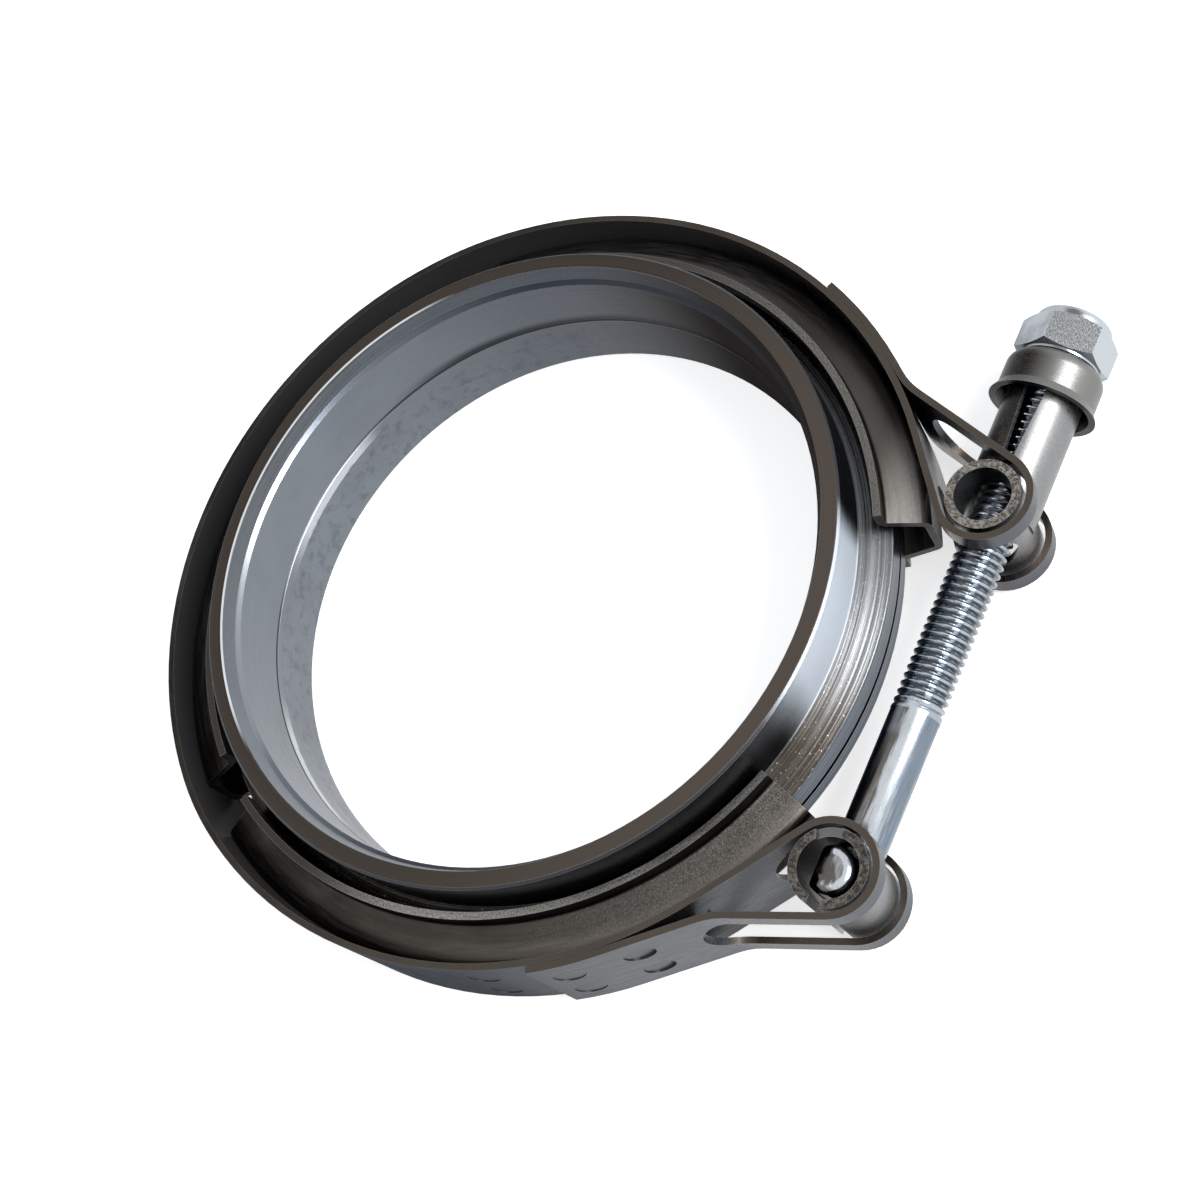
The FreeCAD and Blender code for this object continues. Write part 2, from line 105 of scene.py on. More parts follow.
# How far from a boundary a mask starts, in metres.
FACE_SLACK = 0.05 * MM
TUBE_SLACK = 0.1 * MM

# Light and floor.
WHITE = (1.0, 1.0, 1.0, 1.0)
WORLD_TINT = (0.9, 0.94, 1.0, 1.0)
WORLD_STRENGTH = 0.55
FLOOR_GREY = (0.80, 0.80, 0.80, 1.0)
FLOOR_GLOW = 0.66
FLOOR_SIZE = 1.5
CLAMP_MIDDLE = (0.01, 0.0, 0.0)

# The side of the object that its metal is painted brightest on, as in the photograph: surfaces
# facing it are painted light and those turned away are painted shade. And the nut's flat that
# is painted darker and has the most marks.
KEY = (0.80, 0.34, 0.30)
NUT_TOP_FLAT = (0.342, -0.016, 0.94)


# Node networks

class Net:
    """A material's node tree, with short calls for the nodes used here."""

    def __init__(self, name):
        self.material = bpy.data.materials.new(name)
        self.material.use_nodes = True
        self.tree = self.material.node_tree
        self.shader = self.tree.nodes["Principled BSDF"]
        coordinates = self.add("ShaderNodeTexCoord")
        self.place = coordinates.outputs["Object"]
        self.facing = coordinates.outputs["Normal"]

    def add(self, kind, **settings):
        node = self.tree.nodes.new(kind)
        for key, value in settings.items():
            setattr(node, key, value)
        return node

    def feed(self, socket, value):
        """Link a socket to another, or set its plain value."""
        if isinstance(value, bpy.types.NodeSocket):
            self.tree.links.new(value, socket)
        elif isinstance(value, (tuple, list)) and len(value) == 3 and socket.type == "RGBA":
            socket.default_value = (*value, 1.0)
        else:
            socket.default_value = value

    def math(self, operation, first, second=0.0):
        node = self.add("ShaderNodeMath", operation=operation)
        for socket, value in zip(node.inputs, (first, second)):
            self.feed(socket, value)
        return node.outputs[0]

    def split(self, vector):
        node = self.add("ShaderNodeSeparateXYZ")
        self.feed(node.inputs[0], vector)
        return node.outputs

    def join(self, x, y, z):
        node = self.add("ShaderNodeCombineXYZ")
        for socket, value in zip(node.inputs, (x, y, z)):
            self.feed(socket, value)
        return node.outputs[0]

    def moved(self, vector, location, turn):
        """Coordinates in a frame that stands at location, turned about Z."""
        node = self.add("ShaderNodeMapping", vector_type="TEXTURE")
        self.feed(node.inputs["Vector"], vector)
        node.inputs["Location"].default_value = location
        node.inputs["Rotation"].default_value = (0.0, 0.0, math.radians(turn))
        return node.outputs[0]

    def noise(self, vector, scale, detail=2.0, roughness=0.5):
        node = self.add("ShaderNodeTexNoise")
        self.feed(node.inputs["Vector"], vector)
        node.inputs["Scale"].default_value = scale
        node.inputs["Detail"].default_value = detail
        node.inputs["Roughness"].default_value = roughness
        return node.outputs[0]

    def remap(self, value, low, high, to_low=0.0, to_high=1.0):
        node = self.add("ShaderNodeMapRange", interpolation_type="SMOOTHSTEP")
        for socket, number in zip(node.inputs, (value, low, high, to_low, to_high)):
            self.feed(socket, number)
        return node.outputs[0]

    def mix(self, factor, first, second):
        node = self.add("ShaderNodeMix", data_type="RGBA")
        colours = [s for s in node.inputs if s.type == "RGBA"]
        self.feed(node.inputs[0], factor)
        self.feed(colours[0], first)
        self.feed(colours[1], second)
        return next(s for s in node.outputs if s.type == "RGBA")

    def normal(self):
        return self.add("ShaderNodeNewGeometry").outputs["Normal"]

    def edges(self, radius, low=0.02, high=0.3):
        """1 along sharp edges, from how far a rounded normal leaves the true one."""
        bevel = self.add("ShaderNodeBevel", samples=4)
        bevel.inputs["Radius"].default_value = radius
        dot = self.add("ShaderNodeVectorMath", operation="DOT_PRODUCT")
        self.feed(dot.inputs[0], bevel.outputs[0])
        self.feed(dot.inputs[1], self.normal())
        return self.remap(self.math("SUBTRACT", 1.0, dot.outputs["Value"]), low, high)

    def openness(self, distance):
        """1 where nothing stands close in front of a surface, 0 deep between others."""
        node = self.add("ShaderNodeAmbientOcclusion", samples=6)
        node.inputs["Distance"].default_value = distance
        return node.outputs["AO"]

    def bump(self, height, distance, strength=1.0, under=None):
        node = self.add("ShaderNodeBump")
        node.inputs["Strength"].default_value = strength
        node.inputs["Distance"].default_value = distance
        self.feed(node.inputs["Height"], height)
        if under is not None:
            self.feed(node.inputs["Normal"], under)
        return node.outputs[0]

    def finish(self, colour, roughness, normal=None, metallic=1.0, shine=0.5):
        self.feed(self.shader.inputs["Base Color"], colour)
        self.feed(self.shader.inputs["Roughness"], roughness)
        self.feed(self.shader.inputs["Metallic"], metallic)
        self.feed(self.shader.inputs["Specular IOR Level"], shine)
        if normal is not None:
            self.feed(self.shader.inputs["Normal"], normal)
        return self.material


def round_axis(net, location, turn, along_z):
    """(radius, distance along the axis, direction round it) as three values."""
    x, y, z = net.split(net.moved(net.place, location, turn))
    side, up, along = (x, y, z) if along_z else (y, z, x)
    square = net.math("ADD", net.math("MULTIPLY", side, side), net.math("MULTIPLY", up, up))
    return net.math("SQRT", square), along, net.math("ARCTAN2", up, side)


def turning_marks(net, radius, along, fine, angle, waviness=0.00002):
    """Rings left by a lathe: noise that hardly changes round the axis."""
    lines = net.join(radius, along, net.math("MULTIPLY", angle, waviness))
    return net.noise(lines, fine, detail=3.0, roughness=0.6)


def stains(net, scale):
    """Soft cloudy patches."""
    return net.noise(net.place, scale, detail=4.0, roughness=0.55)


# Materials

def turned_to(net, key):
    """How far a surface faces a fixed side of the object, -1 to 1."""
    dot = net.add("ShaderNodeVectorMath", operation="DOT_PRODUCT")
    net.feed(dot.inputs[0], net.facing)
    dot.inputs[1].default_value = Vector(key).normalized()
    return dot.outputs["Value"]


def tone(net, key, low, high):
    """0 to 1 as a surface turns towards a fixed side of the object."""
    return net.remap(turned_to(net, key), low, high)


def outwardness(net, radius):
    """How far a surface faces away from the flanges' axis, -1 to 1."""
    nx, ny, _ = net.split(net.facing)
    px, py, _ = net.split(net.place)
    return net.math("DIVIDE", net.math("ADD", net.math("MULTIPLY", nx, px),
                                       net.math("MULTIPLY", ny, py)), radius)


def flange_steel():
    """Turned steel: dark end face, blue-grey walls, a grooved flank, with light, shade, highlights
    and a reflection band painted in by side and by place.
    """
    net = Net("turned_steel")
    radius, height, angle = round_axis(net, (0, 0, 0), 0, True)
    rings = turning_marks(net, radius, height, 9000.0, angle)
    coarse = turning_marks(net, radius, height, 2600.0, angle)
    cloud = stains(net, 90.0)
    specks = net.remap(net.noise(net.place, 650.0, 4.0, 0.7), 0.48, 0.68)
    # Painted light and shade: the bore is lighter where it faces KEY and turns dark brown away from
    # it.
    lit = tone(net, KEY, -0.35, 0.95)
    bore = net.mix(lit, (0.085, 0.095, 0.112), (0.235, 0.26, 0.292))
    shaded = net.math("MULTIPLY", tone(net, KEY, -0.08, -0.66),
                      net.math("LESS_THAN", radius, MOUTH_RADIUS + 0.2 * MM))
    bore = net.mix(net.math("MULTIPLY", net.remap(cloud, 0.4, 0.7), 0.2), bore,
                   (0.11, 0.12, 0.138))
    # The mouth's bevel: painted shade away from KEY and a painted highlight where it faces KEY.
    bevel = net.math("MULTIPLY", net.math("GREATER_THAN", height, MOUTH_FOOT - 0.55 * MM),
                     net.math("LESS_THAN", height, MOUTH_FOOT + 0.06 * MM))
    step = net.mix(tone(net, KEY, 0.15, 0.75), (0.030, 0.034, 0.042), (0.15, 0.17, 0.20))
    step = net.mix(tone(net, KEY, 0.76, 0.84), step, (0.26, 0.285, 0.31))
    bore = net.mix(bevel, bore, step)
    bore = net.mix(shaded, bore, (0.040, 0.034, 0.031))
    gleam = net.math("MULTIPLY", net.math("MULTIPLY",
                     net.math("GREATER_THAN", height, SEAM_Z - 1.6 * MM),
                     net.math("LESS_THAN", height, SEAM_Z - 0.1 * MM)),
                     net.math("MULTIPLY", tone(net, KEY, 0.62, 0.72), tone(net, KEY, 0.93, 0.86)))
    bore = net.mix(gleam, bore, (0.62, 0.66, 0.70))
    # Painted shade above the seam, strongest away from KEY; the thin dark line is the joint itself.
    above = net.math("SUBTRACT", height, SEAM_Z)
    seam_shade = net.math("MULTIPLY", net.math("GREATER_THAN", above, 0.0),
                    net.remap(above, 0.3 * MM, 1.9 * MM, 0.95, 0.0))
    seam_shade = net.math("MULTIPLY", seam_shade, tone(net, KEY, 0.62, 0.25))
    line = net.remap(net.math("ABSOLUTE", above), 0.16 * MM, 0.30 * MM, 0.9, 0.0)
    bore = net.mix(net.math("MAXIMUM", seam_shade, line), bore, (0.018, 0.019, 0.022))
    is_low = net.math("LESS_THAN", height, BORE_SPECKS_TOP)
    bore = net.mix(net.math("MULTIPLY", net.math("MULTIPLY", specks, is_low), 0.35), bore,
                   (0.055, 0.058, 0.066))
    # Painted shadow and reflection on the outer wall: dark as if shadowed by the retainers, with a
    # bright band between them whose edges the stains make wavy.
    px, py, _ = net.split(net.place)
    wavy = net.math("ADD", py, net.math("MULTIPLY", cloud, 4 * MM))
    reflection_band = net.math("MULTIPLY", net.remap(wavy, -11 * MM, -3 * MM), net.remap(px, 0.0, 20 * MM))
    reflection_band = net.math("MULTIPLY", reflection_band, net.remap(wavy, 18 * MM, 13.5 * MM))
    wall = net.mix(reflection_band, (0.052, 0.055, 0.063), (0.54, 0.59, 0.65))
    rim = net.mix(net.remap(coarse, 0.35, 0.65), (0.05, 0.062, 0.08), (0.15, 0.18, 0.225))
    face = net.mix(net.remap(rings, 0.2, 0.8), (0.044, 0.036, 0.031), (0.060, 0.050, 0.044))
    # Painted light: the end face is lighter towards +x.
    face = net.mix(net.math("MULTIPLY", net.remap(px, 0.0, 40 * MM), 0.5),
                   face, (0.12, 0.10, 0.085))
    # Painted highlight along the end face's inner edge on the -x side.
    inner_rim_highlight = net.math("MULTIPLY", net.math("LESS_THAN", radius, MOUTH_RADIUS + 0.28 * MM),
                         net.remap(px, -22 * MM, -29 * MM))
    face = net.mix(inner_rim_highlight, face, (0.70, 0.72, 0.74))
    groove = net.mix(net.remap(coarse, 0.32, 0.68), (0.11, 0.115, 0.122), (0.225, 0.233, 0.243))
    brown = net.mix(net.remap(cloud, 0.3, 0.7), (0.035, 0.030, 0.026), (0.085, 0.075, 0.065))
    flank = net.mix(net.remap(py, -12 * MM, 4 * MM), brown, groove)
    grit = net.remap(net.noise(net.place, 2600.0, 2.0, 0.7), 0.64, 0.72)
    flank = net.mix(net.math("MULTIPLY", grit, 0.6), flank, (0.5, 0.5, 0.48))
    out = net.math("GREATER_THAN", outwardness(net, radius), 0.0)
    beyond_tube = net.math("GREATER_THAN", radius, TUBE_RADIUS + TUBE_SLACK)
    sloped = net.math("GREATER_THAN", net.math("ABSOLUTE", net.split(net.facing)[2]), 0.5)
    is_face = net.math("GREATER_THAN", height, NEAR_FACE_Z - FACE_SLACK)
    is_flank = net.math("MULTIPLY", sloped, beyond_tube)
    colour = net.mix(out, bore, wall)
    colour = net.mix(beyond_tube, colour, rim)
    colour = net.mix(is_flank, colour, flank)
    colour = net.mix(is_face, colour, face)
    # Sharp edges painted light, except towards +x and +y: partly wear, partly a painted highlight.
    plain = net.math("MULTIPLY", net.remap(px, 5 * MM, 20 * MM), net.remap(py, 12 * MM, 20 * MM))
    edge_wear_and_glint = net.math("MULTIPLY", net.edges(0.00012), net.remap(plain, 0.0, 1.0, 0.5, 0.0))
    colour = net.mix(edge_wear_and_glint, colour, (0.62, 0.64, 0.67))
    # Metal is turned down where the painted shade and the painted reflection band lie, so that they
    # show in their painted colour.
    on_wall = net.math("MULTIPLY", net.math("MULTIPLY", reflection_band, out),
                       net.math("LESS_THAN", radius, TUBE_RADIUS + TUBE_SLACK))
    on_wall = net.math("MULTIPLY", on_wall, net.math("LESS_THAN", height, NEAR_FACE_Z - FACE_SLACK))
    metal = net.math("SUBTRACT", 1.0, net.math("MAXIMUM", shaded,
                                               net.math("MULTIPLY", on_wall, 0.75)))
    rough = net.remap(rings, 0.3, 0.7, 0.24, 0.40)
    grain = net.bump(rings, 0.00002, 0.35)
    tool = net.bump(net.math("MULTIPLY", coarse, is_flank), 0.00012, 0.8, grain)
    return net.finish(colour, rough, tool, metal, shine=0.0)


def strap_steel():
    """Cold-rolled strip: brownish inside, blue-grey satin outside, with shade, shadow and light
    painted in by place.
    """
    net = Net("strap_steel")
    radius, height, angle = round_axis(net, (0, 0, 0), 0, True)
    rolled = net.noise(net.join(net.math("MULTIPLY", angle, 0.002), height, radius), 5000.0, 2.0)
    cloud = stains(net, 130.0)
    px, py, _ = net.split(net.place)
    inside = net.mix(net.remap(cloud, 0.3, 0.7), (0.060, 0.058, 0.060), (0.105, 0.098, 0.095))
    # Painted shade: the inside turns darker towards -x.
    inside_shade = net.remap(px, 22 * MM, -5 * MM)
    inside = net.mix(inside_shade, inside, (0.044, 0.042, 0.043))
    # Painted light and shade: the outside is dark at -x and lightens towards +x.
    outside = net.mix(net.remap(cloud, 0.3, 0.7), (0.040, 0.044, 0.052), (0.082, 0.090, 0.102))
    outside = net.mix(net.math("MULTIPLY", net.remap(px, -12 * MM, 20 * MM), 0.6), outside,
                      (0.105, 0.115, 0.128))
    outside = net.mix(net.remap(px, 14 * MM, 38 * MM), outside, (0.118, 0.128, 0.142))
    # Painted light and shade: the strip's edges are dark at -x and lighter towards +x.
    edge = net.mix(net.remap(px, -40 * MM, 45 * MM), (0.020, 0.017, 0.015), (0.075, 0.063, 0.053))
    edge = net.mix(net.math("MULTIPLY", net.remap(cloud, 0.3, 0.7), 0.3), edge,
                   (0.10, 0.086, 0.073))
    out = net.remap(outwardness(net, radius), 0.0, 0.35)
    colour = net.mix(out, inside, outside)
    is_edge = net.remap(net.math("ABSOLUTE", net.split(net.facing)[2]), 0.6, 0.9)
    # Painted shade: the outside darkens where other parts stand close in front of it.
    crevice_shade = net.math("MULTIPLY", net.remap(net.openness(7 * MM), 0.75, 0.35), out)
    colour = net.mix(net.math("MULTIPLY", crevice_shade, 0.85), colour, (0.020, 0.021, 0.024))
    colour = net.mix(is_edge, colour, edge)
    # Sharp edges painted lighter: partly wear, partly a painted highlight.
    colour = net.mix(net.math("MULTIPLY", net.edges(0.0001), 0.3), colour, (0.42, 0.42, 0.42))
    rough = net.remap(rolled, 0.3, 0.7, 0.26, 0.40)
    inner_face = net.math("MULTIPLY", net.math("SUBTRACT", 1.0, out),
                          net.math("SUBTRACT", 1.0, is_edge))
    inside_shade = net.math("MULTIPLY", inside_shade, inner_face)
    # Painted shade through the metal: metal is turned down on the outside between -32 and 36 mm in x
    # and below -22 mm in y, and inside towards -x, so that these places render dark.
    underside_shade = net.math("MULTIPLY", net.remap(px, 36 * MM, 8 * MM),
                         net.remap(px, -32 * MM, -14 * MM))
    underside_shade = net.math("MULTIPLY", underside_shade, net.remap(py, -22 * MM, -38 * MM))
    outer_metal = net.remap(underside_shade, 0.0, 1.0, 0.85, 0.03)
    inner_metal = net.remap(inside_shade, 0.0, 1.0, 1.0, 0.1)
    metal = net.math("ADD", net.math("MULTIPLY", outer_metal, out),
                     net.math("MULTIPLY", inner_metal, net.math("SUBTRACT", 1.0, out)))
    return net.finish(colour, rough, net.bump(rolled, 0.00001, 0.3), metal, shine=0.0)


def retainer_steel():
    """Roll-formed sheet: satin brown-grey legs, sheared and hatched edges, with light, shade and
    glints painted in by place.
    """
    net = Net("formed_steel")
    radius, height, angle = round_axis(net, (0, 0, 0), 0, True)
    cloud = stains(net, 110.0)
    streak = net.noise(net.join(net.math("MULTIPLY", angle, 0.004), height, radius), 2600.0, 3.0)
    sand = net.noise(net.place, 3200.0, 3.0, 0.7)
    px, py, _ = net.split(net.place)
    side = net.math("DIVIDE", net.math("ADD", net.math("MULTIPLY", px, 0.8),
                                       net.math("MULTIPLY", py, -0.6)), radius)
    # Painted light: on the far side the legs and web are lifted to a lighter grey.
    far_side = net.remap(side, -0.05, -0.6)
    # Painted light and shade: the lower retainer's leg lightens towards +x, and the upper one stays
    # darker.
    lower = net.mix(net.remap(px, -25 * MM, 38 * MM), (0.030, 0.026, 0.023), (0.13, 0.115, 0.10))
    upper = net.mix(net.remap(px, 12 * MM, 44 * MM), (0.022, 0.020, 0.019), (0.085, 0.076, 0.069))
    leg = net.mix(net.remap(py, -4 * MM, 4 * MM), lower, upper)
    # Painted shade: the upper retainer's leg darkens towards its web and the lower one's towards its
    # lip.
    far_edge = net.remap(radius, 45.5 * MM, 49 * MM)
    near_lip = net.remap(radius, 47.5 * MM, 45.2 * MM)
    above = net.remap(py, -4 * MM, 4 * MM)
    leg_shade = net.math("ADD", net.math("MULTIPLY", far_edge, above),
                      net.math("MULTIPLY", near_lip, net.math("SUBTRACT", 1.0, above)))
    leg = net.mix(net.math("MULTIPLY", leg_shade, 0.75), leg, (0.016, 0.015, 0.014))
    leg = net.mix(far_side, leg, (0.125, 0.118, 0.117))
    leg = net.mix(net.math("MULTIPLY", net.remap(cloud, 0.35, 0.7), 0.3), leg,
                  (0.09, 0.080, 0.071))
    strokes = net.noise(net.join(net.math("ADD", px, py), net.math("MULTIPLY", height, 0.3),
                                 net.math("MULTIPLY", net.math("SUBTRACT", px, py), 0.3)),
                        9500.0, 4.0, 0.85)
    # Lighter scratch strokes on the lower retainer towards its end: partly wear, partly a painted
    # highlight.
    wear_and_glint = net.math("MULTIPLY", net.remap(px, 12 * MM, 40 * MM), net.remap(strokes, 0.44, 0.62))
    wear_and_glint = net.math("MULTIPLY", wear_and_glint, net.remap(py, -8 * MM, -18 * MM))
    leg = net.mix(net.math("MULTIPLY", wear_and_glint, 0.6), leg, (0.27, 0.26, 0.243))
    # Painted highlight on the upper retainer's leg near its end, broken up by the strokes.
    end_glint = net.math("MULTIPLY", net.remap(px, 37 * MM, 45 * MM), net.remap(py, 0.0, 9 * MM))
    end_glint = net.math("MULTIPLY", end_glint, net.remap(strokes, 0.3, 0.6, 0.5, 1.0))
    leg = net.mix(net.math("MULTIPLY", end_glint, 0.8), leg, (0.42, 0.40, 0.38))
    # Painted shade: the web is nearly black, lifted to grey on the far side.
    web = net.mix(net.remap(cloud, 0.3, 0.7), (0.022, 0.020, 0.019), (0.052, 0.047, 0.043))
    web = net.mix(far_side, web, (0.14, 0.135, 0.135))
    up = net.math("ABSOLUTE", net.split(net.facing)[2])
    colour = net.mix(net.remap(up, 0.35, 0.75), web, leg)
    is_lip = net.math("GREATER_THAN", net.math("ABSOLUTE", height), LIP_Z)
    cuts = net.noise(net.join(angle, net.math("MULTIPLY", radius, 8.0), 0.0), 420.0, 3.0, 0.7)
    hatch = net.mix(net.remap(cuts, 0.38, 0.62), (0.10, 0.095, 0.09), (0.36, 0.35, 0.33))
    # The lips carry real shear hatch, shown light only on one side of the lower retainer and towards
    # +x on the upper one, and dark elsewhere: painted light and shade.
    lit_hatch = net.mix(above, net.remap(side, 0.35, 0.75), net.remap(px, 0.0, 30 * MM, 0.1, 0.5))
    hatch = net.mix(lit_hatch, (0.045, 0.040, 0.036), hatch)
    colour = net.mix(is_lip, colour, hatch)
    # Sharp edges painted lighter: partly wear, partly a painted highlight.
    colour = net.mix(net.math("MULTIPLY", net.edges(0.00013), 0.45), colour, (0.5, 0.5, 0.49))
    rough = net.remap(streak, 0.3, 0.7, 0.28, 0.46)
    return net.finish(colour, rough, net.bump(streak, 0.00002, 0.4, net.bump(sand, 0.00002, 0.3)))


def bolt_zinc():
    """Bright zinc plate on the bolt: drawn shank, with light, shade and a highlight painted on by
    the side a surface faces, and thread roots painted dark as shade.
    """
    net = Net("bolt_zinc")
    radius, along, angle = round_axis(net, BAR_AT, BOLT_TURN, False)
    lines = net.noise(net.join(net.math("MULTIPLY", angle, 0.003), net.math("MULTIPLY", along, 0.08),
                               radius), 3500.0, 3.0)
    cloud = stains(net, 260.0)
    # Painted light, shade and reflection: dark brown away from KEY, a white highlight, then
    # blue-grey where the surface faces KEY, with drawn streaks breaking up the bounds.
    wavy = net.math("ADD", turned_to(net, KEY),
                    net.math("MULTIPLY", net.math("SUBTRACT", lines, 0.5), 0.45))
    colour = net.mix(net.remap(wavy, -0.35, -0.05), (0.030, 0.031, 0.035), (0.115, 0.105, 0.098))
    colour = net.mix(net.remap(wavy, 0.18, 0.36), colour, (0.56, 0.60, 0.64))
    colour = net.mix(net.remap(wavy, 0.62, 0.80), colour, (0.24, 0.295, 0.365))
    colour = net.mix(net.math("MULTIPLY", net.remap(cloud, 0.45, 0.7), 0.35), colour,
                     (0.30, 0.33, 0.37))
    colour = net.mix(net.math("MULTIPLY", net.remap(lines, 0.52, 0.7), 0.35), colour,
                     (0.13, 0.145, 0.17))
    # On the thread the crests are painted lighter towards KEY (painted light) and the roots darker
    # (painted shade).
    threaded = net.math("GREATER_THAN", along, THREAD_START * MM)
    cut = net.math("MULTIPLY", net.math("LESS_THAN", radius, ROOT_SHADE_RADIUS * MM), threaded)
    lit = net.math("MULTIPLY", threaded, net.remap(wavy, -0.1, 0.5, 0.25, 0.75))
    colour = net.mix(lit, colour, (0.52, 0.58, 0.64))
    colour = net.mix(net.math("MULTIPLY", cut, 0.5), colour, (0.085, 0.098, 0.115))
    rough = net.remap(lines, 0.3, 0.7, 0.14, 0.26)
    return net.finish(colour, rough, net.bump(lines, 0.000008, 0.35))


def nut_zinc():
    """Bright zinc plate on the nut, with scratches along its flats, and light, shade and edge
    highlights painted on by the side each flat faces.
    """
    net = Net("nut_zinc")
    _, along, angle = round_axis(net, BAR_AT, BOLT_TURN, False)
    marks = net.noise(net.join(angle, net.math("MULTIPLY", along, 45.0), 0.0), 60.0, 3.0, 0.7)
    cloud = stains(net, 300.0)
    colour = net.mix(net.remap(cloud, 0.3, 0.7), (0.27, 0.30, 0.335), (0.50, 0.54, 0.58))
    flats = net.math("LESS_THAN", along, NUT_HEX_TOP * MM)
    # Painted shade: the flat towards NUT_TOP_FLAT is dark, with lighter scratch marks on it.
    colour = net.mix(tone(net, NUT_TOP_FLAT, 0.9, 0.97), colour, (0.16, 0.163, 0.167))
    wear_and_glint = net.math("MULTIPLY", net.math("MULTIPLY", net.remap(marks, 0.48, 0.58), flats), 0.7)
    colour = net.mix(net.math("MULTIPLY", wear_and_glint, tone(net, NUT_TOP_FLAT, 0.9, 0.97)), colour,
                     (0.32, 0.33, 0.34))
    # Painted light towards KEY and painted shade away from it.
    colour = net.mix(tone(net, KEY, 0.55, 0.85), colour, (0.62, 0.67, 0.72))
    colour = net.mix(tone(net, KEY, -0.25, -0.75), colour, (0.10, 0.115, 0.135))
    # Sharp edges painted light: partly wear, partly a painted highlight.
    colour = net.mix(net.math("MULTIPLY", net.edges(0.00014), 0.6), colour, (0.80, 0.82, 0.85))
    rough = net.remap(marks, 0.35, 0.65, 0.16, 0.30)
    return net.finish(colour, rough, net.bump(marks, 0.00001, 0.35))


def satin_steel(name, dark, light, torn_dark, torn_light, axis=None):
    """Tumbled sheet steel with a fine sandy grain and torn cut ends, painted lit or shaded by the
    side a surface faces, with inward faces painted as shade.
    """
    net = Net(name)
    sand = net.noise(net.place, 4200.0, 3.0, 0.65)
    cloud = stains(net, 200.0)
    # Painted light and shade: the light colour where a surface faces KEY, the dark colour away from
    # it.
    colour = net.mix(tone(net, KEY, 0.0, 0.85), dark, light)
    colour = net.mix(net.math("MULTIPLY", net.remap(cloud, 0.45, 0.75), 0.3), colour,
                     tuple(0.6 * c for c in light))
    colour = net.mix(net.math("MULTIPLY", net.remap(sand, 0.5, 0.7), 0.4), colour,
                     tuple(0.45 * c for c in light))
    # Painted shade: faces turned in towards the sleeve's axis take the dark colour.
    if axis is not None:
        nx, ny, _ = net.split(net.facing)
        dx, dy, _ = net.split(net.moved(net.place, axis, 0))
        inward = net.math("LESS_THAN", net.math("ADD", net.math("MULTIPLY", nx, dx),
                                                net.math("MULTIPLY", ny, dy)), -MM)
        colour = net.mix(inward, colour, dark)
    is_cut = net.math("GREATER_THAN", net.split(net.place)[2], CUT_END)
    torn = net.mix(net.remap(net.noise(net.place, 2300.0, 3.0, 0.75), 0.40, 0.62),
                   torn_dark, torn_light)
    colour = net.mix(is_cut, colour, torn)
    # Sharp edges painted light: partly wear, partly a painted highlight.
    colour = net.mix(net.math("MULTIPLY", net.edges(0.00014), 0.4), colour, (0.6, 0.61, 0.62))
    rough = net.remap(sand, 0.3, 0.7, 0.26, 0.42)
    return net.finish(colour, rough, net.bump(sand, 0.000012, 0.35))


def nylon():
    """Off-white nylon with a slight haze."""
    net = Net("nylon")
    cloud = stains(net, 900.0)
    colour = net.mix(cloud, (0.42, 0.43, 0.44), (0.56, 0.57, 0.58))
    return net.finish(colour, net.remap(cloud, 0.3, 0.7, 0.45, 0.6), metallic=0.0)


def dress(material, *names):
    """Give CAD nodes their finish."""
    for name in names:
        NODES[name].data.materials.clear()
        NODES[name].data.materials.append(material)


# The bolt, with a real thread

def bolt_place():
    """Matrix from the bolt's own millimetres to the part's frame in metres."""
    turn = Matrix.Rotation(math.radians(BOLT_TURN), 4, "Z")
    return Matrix.Translation(BAR_AT) @ turn @ Matrix.Scale(MM, 4)


def thread_height(phase):
    """Height above the root, 0 to 1, along one pitch of the thread."""
    flank = abs(phase - 0.5) * 2.0
    return min(1.0, max(0.0, (flank - ROOT_SHARE) / FLANK_SHARE))


def threaded_rows():
    """Distances along the bolt where the thread's rings of points lie."""
    count = int(round((BOLT_LENGTH - THREAD_START) / THREAD_PITCH * STEPS_PER_PITCH))
    return [THREAD_START + THREAD_PITCH * i / STEPS_PER_PITCH for i in range(count + 1)]


def thread_radius(along, turn):
    """Radius of the threaded part at a place and a fraction of a turn."""
    phase = ((along - THREAD_START) / THREAD_PITCH - turn) % 1.0
    depth = THREAD_DEPTH * (1.0 - thread_height(phase))
    run_in = min(1.0, max(0.0, (along - THREAD_START) / (RUN_IN_TURNS * THREAD_PITCH)))
    tip = max(0.0, along - (BOLT_LENGTH - BOLT_CHAMFER))
    root = THREAD_RADIUS - THREAD_DEPTH
    return max(root - tip, min(THREAD_RADIUS - depth * run_in, THREAD_RADIUS - tip))


def add_ring(mesh, points):
    return [mesh.verts.new(point) for point in points]


def skin(mesh, rings):
    """Faces between neighbouring rings of points."""
    for first, second in zip(rings, rings[1:]):
        for k in range(AROUND):
            following = (k + 1) % AROUND
            mesh.faces.new((first[k], second[k], second[following], first[following]))


def circle(along, radii):
    """Points round the bolt's axis, one for each radius."""
    points = []
    for k, radius in enumerate(radii):
        angle = 2 * math.pi * k / AROUND
        points.append((along, radius * math.cos(angle), radius * math.sin(angle)))
    return points


